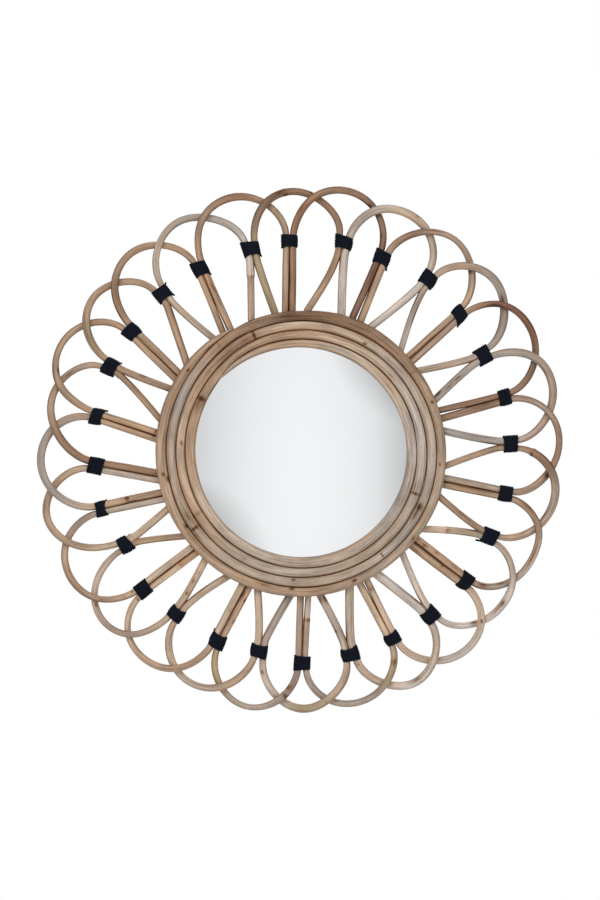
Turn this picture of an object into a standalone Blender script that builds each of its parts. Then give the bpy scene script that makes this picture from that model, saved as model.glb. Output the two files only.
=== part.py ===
"""A round wall mirror with a frame of looped cane.

A flat spiral of thick cane surrounds the glass. Thinner canes loop around it like petals, each
passing over one neighbour and under the other, and cord lashings tie their legs together.

Units are metres and +Z is up. The front faces -Y and the back lies on the wall, the plane Y = 0.
Everything is drawn lying on its back, with height measured from the wall, and one empty stands
the whole drawing up.
"""

from collections import namedtuple
import math

import bmesh
import bpy
import numpy as np

MM = 0.001

# Petal canes, in millimetres
CANE_WIDTH = 7.7
CANE_SIDES = 6
CANE_HEIGHT = 10.1
WEAVE = 4.6
HALF_PITCH = 4.0
FOOT_RADIUS = 167.0
PAIR_TUCK = 14.0
ARC_STEPS = 3
LEG_STEPS = 3

# Lashings, in millimetres
GRIP = 17.5
LASHING_LENGTH = 16.5
LASHING_BORE = 4.8
LASHING_OUTER = 6.7
EXIT_ANGLE = 7.0

# Ring, in millimetres and degrees
RING_POLE = (2.9, 1.7)
RING_DIAMETER = 10.4
RING_SIDES = 8
RING_PITCH = 11.0
RING_START_RADIUS = 119.5
RING_START_ANGLE = 139.0
RING_SWEEP = 1459.5
RING_STEP = 15.0
RING_HEIGHT = 20.1

# Back board and glass, in millimetres
RIM_RADIUS = 157.0
RIM_TOP = 5.3
BOSS_RADIUS = 131.0
BOSS_TOP = 10.3
GLASS_RADIUS = 128.0
GLASS_BOTTOM = 10.6
GLASS_TOP = 14.6
ROUND_STEPS = 40

# Hanger, in millimetres
PLATE_CENTRE = 108.0
PLATE_SIZE = (16.0, 40.0)
PLATE_CORNER = 3.0
PLATE_THICKNESS = 1.5
REBATE_GAP = 0.3
KEYHOLE_CENTRE = 101.0
KEYHOLE_RADIUS = 4.5
SLOT_HALF_WIDTH = 2.3
SLOT_TOP = 114.0
POCKET_CENTRE = 106.5
POCKET_SIZE = (12.0, 27.0)
POCKET_DEPTH = 6.4
CUT_BELOW = 2.0

PAIR = ()

Lashing = namedtuple("Lashing", "angle distance foot_a foot_c bows spread_c spread_a")
Petal = namedtuple("Petal", "over_angle over_distance tip_distance tone")

# One row per lashing, anticlockwise from the top: its bearing and distance, the bearings of its
# anticlockwise and clockwise feet, PAIR for legs side by side or else how much each leg bows
# before it spreads, and how much further its clockwise and anticlockwise canes stand apart at
# its outer end.
LASHINGS = [Lashing(*row) for row in (
    (93.1, 241.0, 96.2, 93.4, PAIR, 0.5, 0.5),
    (103.8, 239.0, 110.3, 100.9, (0.1, 0.3), 1.5, 1.5),
    (118.8, 238.8, 122.7, 119.9, PAIR, 0.5, 0.5),
    (131.2, 240.0, 142.5, 127.9, (0.0, 0.4), 1.5, 1.5),
    (144.6, 237.5, 149.8, 147.0, PAIR, 0.5, 0.5),
    (155.9, 238.5, 167.0, 154.2, (0.3, 0.4), 1.5, 1.5),
    (170.1, 237.0, 175.1, 172.1, PAIR, 0.5, 0.5),
    (183.9, 235.0, 191.1, 188.2, PAIR, 0.5, 0.5),
    (195.9, 237.5, 198.9, 196.1, PAIR, 0.5, 0.5),
    (207.8, 226.5, 215.3, 203.3, (0.2, 0.1), 1.3, 1.2),
    (221.0, 239.2, 223.9, 221.1, PAIR, -0.7, 0.7),
    (232.3, 233.5, 239.6, 228.2, (0.6, 0.4), 0.5, 1.5),
    (246.1, 236.0, 249.0, 246.1, PAIR, -0.3, 0.5),
    (258.1, 232.5, 265.2, 252.8, (0.2, 0.4), 0.0, 2.5),
    (270.2, 241.0, 272.7, 269.9, PAIR, 0.5, 2.2),
    (283.6, 237.5, 289.4, 277.9, (0.3, 0.4), 1.6, 1.4),
    (296.1, 237.0, 297.1, 294.1, PAIR, 0.5, 0.5),
    (308.5, 237.8, 314.5, 302.2, (0.4, 0.1), 1.5, 1.5),
    (321.8, 239.0, 323.0, 320.0, PAIR, 0.5, 0.5),
    (336.0, 236.3, 342.0, 328.2, (0.4, 0.4), 1.5, -0.2),
    (348.4, 238.8, 349.8, 347.0, PAIR, 0.5, 0.5),
    (2.2, 240.0, 8.1, 354.7, (0.3, 0.3), 1.5, 0.1),
    (15.0, 240.8, 16.6, 13.6, PAIR, -0.5, 0.5),
    (27.9, 236.0, 34.1, 21.7, (0.3, 0.3), 1.5, 1.5),
    (41.0, 239.5, 41.9, 39.1, PAIR, 0.5, 0.5),
    (53.6, 245.0, 61.0, 46.3, (0.3, 0.6), 1.5, 1.5),
    (67.3, 240.3, 68.8, 65.8, PAIR, 0.5, 0.5),
    (78.5, 244.2, 87.7, 73.9, (0.8, 0.3), 1.5, 3.0),
)]

# One row per petal: the bearing and distance of the place where it passes over the next petal,
# the distance of its tip, and its tone.
PETALS = [Petal(*row) for row in (
    (98.1, 287.0, 298.0, "brown"),
    (112.5, 290.5, 301.5, "brown"),
    (124.4, 287.0, 298.0, "grey"),
    (137.8, 287.0, 299.0, "tan"),
    (149.2, 285.5, 295.5, "tan"),
    (164.1, 287.5, 300.5, "tan"),
    (174.2, 283.0, 291.0, "tan"),
    (188.5, 288.0, 297.5, "grey"),
    (200.8, 286.5, 299.8, "tan"),
    (215.1, 289.0, 300.0, "tan"),
    (226.5, 287.0, 297.3, "tan"),
    (239.8, 286.0, 296.5, "tan"),
    (251.1, 283.5, 292.5, "tan"),
    (265.0, 283.5, 297.5, "grey"),
    (276.1, 284.5, 293.5, "grey"),
    (289.9, 282.0, 293.5, "tan"),
    (302.3, 282.5, 294.0, "grey"),
    (316.7, 283.0, 294.5, "grey"),
    (328.7, 283.0, 289.0, "grey"),
    (342.5, 284.0, 291.0, "tan"),
    (355.9, 286.0, 294.5, "tan"),
    (9.0, 287.0, 295.5, "brown"),
    (21.8, 288.5, 297.5, "grey"),
    (35.8, 286.5, 297.8, "brown"),
    (47.4, 287.5, 296.0, "grey"),
    (60.0, 290.5, 299.7, "tan"),
    (72.7, 289.0, 298.5, "grey"),
    (86.9, 292.0, 303.0, "brown"),
)]

TONES = {
    "tan": (0.40, 0.27, 0.17),
    "brown": (0.30, 0.18, 0.11),
    "grey": (0.44, 0.36, 0.29),
}


def clear_scene():
    for old in list(bpy.data.objects):
        bpy.data.objects.remove(old, do_unlink=True)


def new_collection(name):
    collection = bpy.data.collections.new(name)
    bpy.context.scene.collection.children.link(collection)
    return collection


def material(name, colour, roughness, metallic=0.0):
    made = bpy.data.materials.new(name)
    made.use_nodes = True
    shader = made.node_tree.nodes["Principled BSDF"]
    shader.inputs["Base Color"].default_value = (*colour, 1.0)
    shader.inputs["Roughness"].default_value = roughness
    shader.inputs["Metallic"].default_value = metallic
    made.diffuse_color = (*colour, 1.0)
    return made


def place(obj, collection, parent, surface=None):
    collection.objects.link(obj)
    obj.parent = parent
    if surface:
        obj.data.materials.append(surface)
    return obj


def bearing(degrees):
    """A unit vector in the plane of the wall, anticlockwise from +X as seen from the front."""
    angle = math.radians(degrees)
    return np.array((math.cos(angle), math.sin(angle), 0.0))


def unit(vector):
    return vector / np.linalg.norm(vector)


def turned(vector, degrees):
    c = math.cos(math.radians(degrees))
    s = math.sin(math.radians(degrees))
    return np.array((c * vector[0] - s * vector[1], s * vector[0] + c * vector[1], 0.0))


def hermite(start, end, start_slope, end_slope, steps):
    points = []
    for i in range(steps + 1):
        t = i / steps
        points.append((2 * t**3 - 3 * t**2 + 1) * start + (t**3 - 2 * t**2 + t) * start_slope
                      + (3 * t**2 - 2 * t**3) * end + (t**3 - t**2) * end_slope)
    return points


def bent_through(keys, start_way, end_way, steps):
    """The curve of a springy cane held at the key points, with its direction given at both ends."""
    keys = np.array(keys)
    gaps = np.linalg.norm(np.diff(keys, axis=0), axis=1)
    count = len(keys)
    left = np.zeros((count, count))
    right = np.zeros((count, 3))
    left[0, 0] = left[-1, -1] = 1.0
    right[0], right[-1] = start_way, end_way
    for i in range(1, count - 1):
        before, after = gaps[i - 1], gaps[i]
        left[i, i - 1:i + 2] = after, 2 * (before + after), before
        right[i] = 3 * (after * (keys[i] - keys[i - 1]) / before
                        + before * (keys[i + 1] - keys[i]) / after)
    slopes = np.linalg.solve(left, right)
    points = [keys[0]]
    for i, gap in enumerate(gaps):
        points += hermite(keys[i], keys[i + 1], slopes[i] * gap, slopes[i + 1] * gap, steps)[1:]
    return points


def lashing_frame(k):
    """The middle of lashing k, the way its canes run outward, and the way across them."""
    row = LASHINGS[k]
    centre = row.distance * bearing(row.angle)
    out = unit(centre - FOOT_RADIUS * (bearing(row.foot_a) + bearing(row.foot_c)) / 2)
    if row.bows:
        out = unit(out + bearing(row.angle))
    return centre, out, np.array((-out[1], out[0], 0.0))


def slot_offset(k, side, along):
    """How far across from the lashing's middle a cane's centreline stands, at a place along it."""
    spread = LASHINGS[k].spread_a if side > 0 else LASHINGS[k].spread_c
    return side * (HALF_PITCH + spread * (along + GRIP / 2) / GRIP)


def slot_point(k, side, along):
    centre, out, across = lashing_frame(k)
    return centre + slot_offset(k, side, along) * across + along * out


def ring_radius(turn):
    return RING_START_RADIUS + RING_PITCH * turn / 360.0


def under_ring(angle):
    """The point beneath the middle of the ring's outermost cane, at a bearing from the origin."""
    turn = (RING_START_ANGLE - angle) % 360.0
    turn += 360.0 * ((RING_SWEEP - turn) // 360.0)
    offset = RING_POLE[0] * bearing(angle)[0] + RING_POLE[1] * bearing(angle)[1]
    return (ring_radius(turn) + offset) * bearing(angle)


def leg(k, side):
    """One leg, from its hidden end to the outer end of lashing k. Side +1 is anticlockwise."""
    out = lashing_frame(k)[1]
    near = slot_point(k, side, -GRIP / 2)
    foot_angle = LASHINGS[k].foot_a if side > 0 else LASHINGS[k].foot_c
    foot = FOOT_RADIUS * bearing(foot_angle)
    chord = near - foot
    if not LASHINGS[k].bows:
        line = [foot - PAIR_TUCK * unit(chord), near]
    else:
        bow = LASHINGS[k].bows[0 if side > 0 else 1]
        slope = np.linalg.norm(chord) * unit(bow * out + (1.0 - bow) * unit(chord))
        line = [under_ring(foot_angle)]
        line += hermite(foot, near, (3 * chord - slope) / 2, slope, LEG_STEPS)[1:]
    return line + [slot_point(k, side, GRIP / 2)]


def petal_line(k):
    """The whole centreline of petal k, from its anticlockwise end to its clockwise end."""
    after = (k + 1) % len(PETALS)
    before = (k - 1) % len(PETALS)
    first, last = leg(after, -1), leg(before, +1)
    over, under = PETALS[k], PETALS[before]
    forward = np.array((0.0, 0.0, WEAVE))
    low = under.over_angle - (360.0 if under.over_angle > over.over_angle else 0.0)
    keys = [
        first[-1],
        over.over_distance * bearing(over.over_angle) + forward,
        over.tip_distance * bearing((over.over_angle + low) / 2),
        under.over_distance * bearing(low) - forward,
        last[-1],
    ]
    start_way = turned(lashing_frame(after)[1], -EXIT_ANGLE)
    end_way = -turned(lashing_frame(before)[1], EXIT_ANGLE)
    arc = bent_through(keys, start_way, end_way, ARC_STEPS)
    lift = np.array((0.0, 0.0, CANE_HEIGHT))
    return [point + lift for point in first + arc[1:-1] + last[::-1]]


def ring_line():
    """The flat spiral, wound clockwise from its inner end."""
    turns = [i * RING_STEP for i in range(int(RING_SWEEP // RING_STEP) + 1)]
    if turns[-1] < RING_SWEEP:
        turns.append(RING_SWEEP)
    points = []
    for turn in turns:
        x, y, _ = ring_radius(turn) * bearing(RING_START_ANGLE - turn)
        points.append((RING_POLE[0] + x, RING_POLE[1] + y, RING_HEIGHT))
    return points


def cane(name, points, diameter, sides, surface, collection, parent):
    """A round cane along the points, with filled ends and a corner of its section to the front."""
    curve = bpy.data.curves.new(name, "CURVE")
    curve.dimensions = "3D"
    curve.twist_mode = "Z_UP"
    curve.bevel_depth = diameter / 2 * MM
    curve.bevel_resolution = sides // 2 - 2
    curve.use_fill_caps = True
    spline = curve.splines.new("POLY")
    spline.points.add(len(points) - 1)
    for knot, point in zip(spline.points, points):
        knot.co = (point[0] * MM, point[1] * MM, point[2] * MM, 1.0)
        knot.tilt = math.pi / sides if sides % 4 else 0.0
    return place(bpy.data.objects.new(name, curve), collection, parent, surface)


def section(k, along, radius):
    """The outline of a lashing in one plane across it: two half rounds, one about each cane."""
    centre, out, across = lashing_frame(k)
    points = []
    for side, angles in ((1, (90, 30, -30, -90)), (-1, (-90, -30, 30, 90))):
        middle = centre + slot_offset(k, side, along) * across + along * out
        for angle in angles:
            c = math.cos(math.radians(angle))
            s = math.sin(math.radians(angle))
            points.append(middle + side * radius * c * across + radius * s * np.array((0, 0, 1.0)))
    return [point + np.array((0.0, 0.0, CANE_HEIGHT)) for point in points]


def lashing(k, surface, collection, parent):
    """A band of wound cord around two canes: an open sleeve lofted between its two ends."""
    half = LASHING_LENGTH / 2
    body = bmesh.new()
    loops = []
    for along, radius in ((-half, LASHING_OUTER), (half, LASHING_OUTER),
                          (half, LASHING_BORE), (-half, LASHING_BORE)):
        loops.append([body.verts.new(point * MM) for point in section(k, along, radius)])
    for near, far in zip(loops, loops[1:] + loops[:1]):
        for i in range(len(near)):
            j = (i + 1) % len(near)
            body.faces.new((near[i], near[j], far[j], far[i]))
    bmesh.ops.recalc_face_normals(body, faces=body.faces)
    mesh = bpy.data.meshes.new(f"lashing_{k + 1:02d}")
    body.to_mesh(mesh)
    body.free()
    return place(bpy.data.objects.new(mesh.name, mesh), collection, parent, surface)


def turned_piece(name, profile, surface, collection, parent):
    """A profile of (radius, height) pairs, down its outer side, turned about the ring's pole."""
    mesh = bpy.data.meshes.new(name)
    mesh.from_pydata([(r * MM, 0.0, h * MM) for r, h in profile],
                     [(i, i + 1) for i in range(len(profile) - 1)], [])
    obj = place(bpy.data.objects.new(name, mesh), collection, parent, surface)
    obj.location = (RING_POLE[0] * MM, RING_POLE[1] * MM, 0.0)
    screw = obj.modifiers.new("turn", "SCREW")
    screw.axis = "Z"
    screw.steps = screw.render_steps = ROUND_STEPS
    screw.use_merge_vertices = True
    screw.merge_threshold = 0.00001
    screw.use_smooth_shade = False
    return obj


def box_cutter(name, up, size, depth, collection, parent):
    """A block that reaches from below the back face up to a depth inside the board."""
    body = bmesh.new()
    bmesh.ops.create_cube(body, size=1.0)
    mesh = bpy.data.meshes.new(name)
    full = (size[0] * MM, size[1] * MM, (depth + CUT_BELOW) * MM)
    bmesh.ops.scale(body, vec=full, verts=body.verts)
    middle = (0.0, up * MM, (depth - CUT_BELOW) / 2 * MM)
    bmesh.ops.translate(body, vec=middle, verts=body.verts)
    body.to_mesh(mesh)
    body.free()
    cutter = place(bpy.data.objects.new(name, mesh), collection, parent)
    cutter.hide_render = True
    cutter.display_type = "WIRE"
    return cutter


def cut(obj, cutter):
    change = obj.modifiers.new(cutter.name, "BOOLEAN")
    change.operation = "DIFFERENCE"
    change.solver = "EXACT"
    change.object = cutter


def arc_points(centre, radius, start, end, steps):
    points = []
    for i in range(steps + 1):
        angle = math.radians(start + (end - start) * i / steps)
        points.append((centre[0] + radius * math.cos(angle), centre[1] + radius * math.sin(angle)))
    return points


def plate_outline():
    half_x = PLATE_SIZE[0] / 2 - PLATE_CORNER
    half_y = PLATE_SIZE[1] / 2 - PLATE_CORNER
    points = []
    for sx, sy, start in ((1, 1, 0), (-1, 1, 90), (-1, -1, 180), (1, -1, 270)):
        corner = (sx * half_x, PLATE_CENTRE + sy * half_y)
        points += arc_points(corner, PLATE_CORNER, start, start + 90, 3)
    return points


def keyhole_outline():
    """A round hole with a narrow slot that runs up from it."""
    opening = math.degrees(math.asin(SLOT_HALF_WIDTH / KEYHOLE_RADIUS))
    hole = arc_points((0.0, KEYHOLE_CENTRE), KEYHOLE_RADIUS, 90 + opening, 450 - opening, 16)
    slot = arc_points((0.0, SLOT_TOP - SLOT_HALF_WIDTH), SLOT_HALF_WIDTH, 0, 180, 6)
    return hole + slot


def hanger_plate(surface, collection, parent):
    curve = bpy.data.curves.new("hanger_plate", "CURVE")
    curve.dimensions = "2D"
    curve.fill_mode = "BOTH"
    curve.extrude = PLATE_THICKNESS / 2 * MM
    for outline in (plate_outline(), keyhole_outline()):
        spline = curve.splines.new("POLY")
        spline.points.add(len(outline) - 1)
        for knot, (x, y) in zip(spline.points, outline):
            knot.co = (x * MM, y * MM, 0.0, 1.0)
        spline.use_cyclic_u = True
    plate = place(bpy.data.objects.new("hanger_plate", curve), collection, parent, surface)
    plate.location = (0.0, 0.0, PLATE_THICKNESS / 2 * MM)
    return plate


def main():
    clear_scene()
    parts = new_collection("cane_wall_mirror")
    cutters = new_collection("cutters")
    standing = bpy.data.objects.new("standing", None)
    parts.objects.link(standing)
    standing.rotation_euler = (math.pi / 2, 0.0, 0.0)

    tones = {name: material(f"cane_{name}", colour, 0.55) for name, colour in TONES.items()}
    ring_surface = material("ring_cane", (0.42, 0.28, 0.17), 0.5)
    cord = material("cord", (0.012, 0.014, 0.022), 0.8)
    silver = material("mirror", (0.85, 0.86, 0.87), 0.02, 1.0)
    wood = material("board", (0.45, 0.33, 0.20), 0.7)
    steel = material("steel", (0.55, 0.56, 0.58), 0.35, 1.0)

    across_corners = CANE_WIDTH / math.cos(math.pi / CANE_SIDES)
    for k, row in enumerate(PETALS):
        cane(f"petal_{k + 1:02d}", petal_line(k), across_corners, CANE_SIDES, tones[row.tone],
             parts, standing)
    for k in range(len(LASHINGS)):
        lashing(k, cord, parts, standing)
    cane("ring_coil", ring_line(), RING_DIAMETER, RING_SIDES, ring_surface, parts, standing)

    glass_profile = [(0.0, GLASS_TOP), (GLASS_RADIUS, GLASS_TOP),
                     (GLASS_RADIUS, GLASS_BOTTOM), (0.0, GLASS_BOTTOM)]
    turned_piece("mirror_glass", glass_profile, silver, parts, standing)

    board_profile = [(0.0, BOSS_TOP), (BOSS_RADIUS, BOSS_TOP), (BOSS_RADIUS, RIM_TOP),
                     (RIM_RADIUS, RIM_TOP), (RIM_RADIUS, 0.0), (0.0, 0.0)]
    board = turned_piece("back_board", board_profile, wood, parts, standing)
    rebate = (PLATE_SIZE[0] + 2 * REBATE_GAP, PLATE_SIZE[1] + 2 * REBATE_GAP)
    cut(board, box_cutter("rebate", PLATE_CENTRE, rebate, PLATE_THICKNESS + REBATE_GAP,
                          cutters, standing))
    cut(board, box_cutter("pocket", POCKET_CENTRE, POCKET_SIZE, POCKET_DEPTH, cutters, standing))
    hanger_plate(steel, parts, standing)


main()
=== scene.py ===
"""Looks of the cane wall mirror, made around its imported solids.

A flat coil of thick cane surrounds the glass, thinner canes loop around it like petals, and wound
cord ties their legs together. Units are metres and +Z is up. The front faces -Y and the back lies
on the wall, the plane Y = 0. Pieces are worked out in millimetres as seen from the front: across,
up, and height off the wall.
"""

import math
import random
from collections import namedtuple

import bmesh
import bpy
import numpy as np
from mathutils import Matrix, Vector


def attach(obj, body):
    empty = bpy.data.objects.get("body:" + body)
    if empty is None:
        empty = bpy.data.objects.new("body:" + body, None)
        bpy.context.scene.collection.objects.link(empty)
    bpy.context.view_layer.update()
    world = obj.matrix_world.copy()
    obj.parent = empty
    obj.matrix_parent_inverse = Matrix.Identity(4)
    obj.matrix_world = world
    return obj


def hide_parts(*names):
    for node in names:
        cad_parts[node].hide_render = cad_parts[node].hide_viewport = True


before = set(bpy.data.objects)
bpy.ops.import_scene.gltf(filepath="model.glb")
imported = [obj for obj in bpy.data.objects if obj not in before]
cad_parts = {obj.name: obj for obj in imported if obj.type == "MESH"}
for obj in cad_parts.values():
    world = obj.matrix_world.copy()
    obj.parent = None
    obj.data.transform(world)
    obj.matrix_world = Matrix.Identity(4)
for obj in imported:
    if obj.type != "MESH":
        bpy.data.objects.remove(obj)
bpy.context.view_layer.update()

MM = 0.001
SEED = 28
OFF_WALL = np.array((0.0, 0.0, 1.0))
FRONT = (0.0, -1.0, 0.0)

# Petal canes, in millimetres and degrees
CANE_HEIGHT = 10.1
CANE_SIDES = 22
CANE_STEP = 1.6
CANE_END = (0.55, 0.85, 0.97)
PETAL_LAY = 1000.0
FOOT_RADIUS = 167.0
PAIR_TUCK = 14.0
PAIR_TOUCH = 28.0
FORK_TUCK = 10.0
FORK_TOUCH = 4.0
FORK_PINCH = 0.3
FORK_STEPS = 14
CLOSE_GAP = -0.4
FORK_GAP = -0.6
EXIT_ANGLE = 7.0
ARC_STEPS = 24
SOFTENING = 3.0
WEAVE_ROOM = 0.35
WOBBLE = 0.12
WOBBLE_KNOTS = 14
NODE_REACH = 2.2

# How much wider a cane is than in its table: in a pair, in a fork, gripped in a fork, where it
# leaves a lashing, and around the arc
PAIR_SWELL = 0.6
FORK_SWELL = 1.4
FORK_GRIP_SWELL = 0.8
LEAVING_SWELL = 0.2
ARC_SWELL = 0.5

# Places along a petal from 0 to 1: where its table and its swells hold, and its creases
PETAL_PLACES = (0.2, 0.36, 0.5, 0.64, 0.8)
SWELL_PLACES = (0.215, 0.235, 0.265, 0.3, 0.7, 0.735, 0.765, 0.785)
PAIR_PLACE = 0.3
FORK_PLACE = 0.19
FORK_REACH = 0.06

# Painted shade on the canes, where they touch, on their flanks and in the ring's grooves, and
# their dark marks. Edges, starts and fronts are shares of a cane's half width
CREASE_SHADE = 0.9
CREASE_EDGE = 0.5
CREASE_FRONT = -0.6
MARK_FRONT = -0.2
MARK_BLUR = 0.35
MARK_CUT = 2.0
MARK_STRENGTH = 1.35
# Painted shade on a cane's flanks, darker towards its edges
FLANK_START = 0.6
FLANK_SHADE = 0.35
FLANK_POWER = 1.5
# Painted shade in the grooves between the ring's turns
GROOVE_START = 0.73
GROOVE_SHADE = 1.0

# Lashings, in millimetres and radians
GRIP = 17.5
CORD_WIDTH = 2.3
CORD_PITCH = 2.2
CORD_DIP = 0.4
CORD_BITE = 0.05
CORD_SIDES = 9
CORD_LOBE = 0.1
CORD_STEP = 1.0
CORD_STEPS = 36
CORD_TWIST = 0.55
CORD_DRIFT = 0.15
CORD_SOFTENING = 0.6
CORD_END = (0.7, 0.93)
CORD_LAY = 500.0
SIDE_REACH = 6.0

# Ring, in millimetres and degrees
RING_POLE = (2.9, 1.7)
RING_DEPTH = 10.8
RING_START_ANGLE = 139.0
RING_SWEEP = 1459.5
RING_HEIGHT = 20.1
RING_SIDES = 24
RING_STEP = 1.5
RING_LAY = 40000.0
RING_SOFTENING = 6.0
RING_OVERLAP = 0.3
PARED_LENGTH = 30.0
PARED_DEPTH = 0.35
OPEN_SWEEP = 350.0
RING_TONES = (
    "beige honey sand cream pale ash sand sand sand cream honey tan "
    "tan honey cream sand pale sand beige sand sand honey cream honey "
    "brown cream beige sand sand ash sand beige sand beige beige ash "
    "tan umber brown tan beige beige beige tan tan honey honey tan tan").split()
RING_TONE_STEP = 30.0
RING_LIFT = (0.98, 1.0, 1.03)

# Back board and glass: the radius and height of each corner, in millimetres
BOARD_PROFILE = ((0.0, 10.3), (131.0, 10.3), (131.0, 5.3), (157.0, 5.3), (157.0, 0.0), (0.0, 0.0))
BOARD_BEVEL = 0.8
GLASS_PROFILE = ((0.0, 14.6), (128.0, 14.6), (128.0, 10.6), (0.0, 10.6))
GLASS_BEVEL = 0.6
ROUND_SEGMENTS = 180
RIM_ANGLE = math.radians(60)
FLAT = 0.99
WELD = 0.01

# Hanger, in millimetres. THROUGH is where a tool that cuts right through starts and ends
PLATE_CENTRE = 108.0
PLATE_SIZE = (16.0, 40.0)
PLATE_CORNER = 3.0
PLATE_THICKNESS = 1.5
PLATE_BEVEL = 0.2
PLATE_ANGLE = math.radians(50)
REBATE_GAP = 0.3
KEYHOLE_CENTRE = 101.0
KEYHOLE_RADIUS = 4.5
SLOT_HALF_WIDTH = 2.3
SLOT_TOP = 114.0
POCKET_CENTRE = 106.5
POCKET_SIZE = (12.0, 27.0)
POCKET_CORNER = 1.0
POCKET_DEPTH = 6.4
SHARP_CORNER = 0.1
THROUGH = (-1.0, 3.0)
PLUG_SIDES = 48
SCREW_PLACES = (91.7, 121.5)
SCREW_HEAD_RADII = (2.6, 1.6)
SCREW_HEAD_ENDS = (0.12, 1.45)
COUNTERSINK_RADII = (2.95, 1.4)
COUNTERSINK_ENDS = (-0.35, 1.2)
DRIVE_SIZES = ((0.7, 3.0), (3.0, 0.7))
DRIVE_DEPTH = 0.75

Lashing = namedtuple(
    "Lashing", "angle distance foot_a foot_c lie spread_c spread_a outer inner side_a side_c "
    "tail loose", defaults=((), ()))
Petal = namedtuple("Petal", "over_angle over_distance tip_distance slot widths tones")

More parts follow.
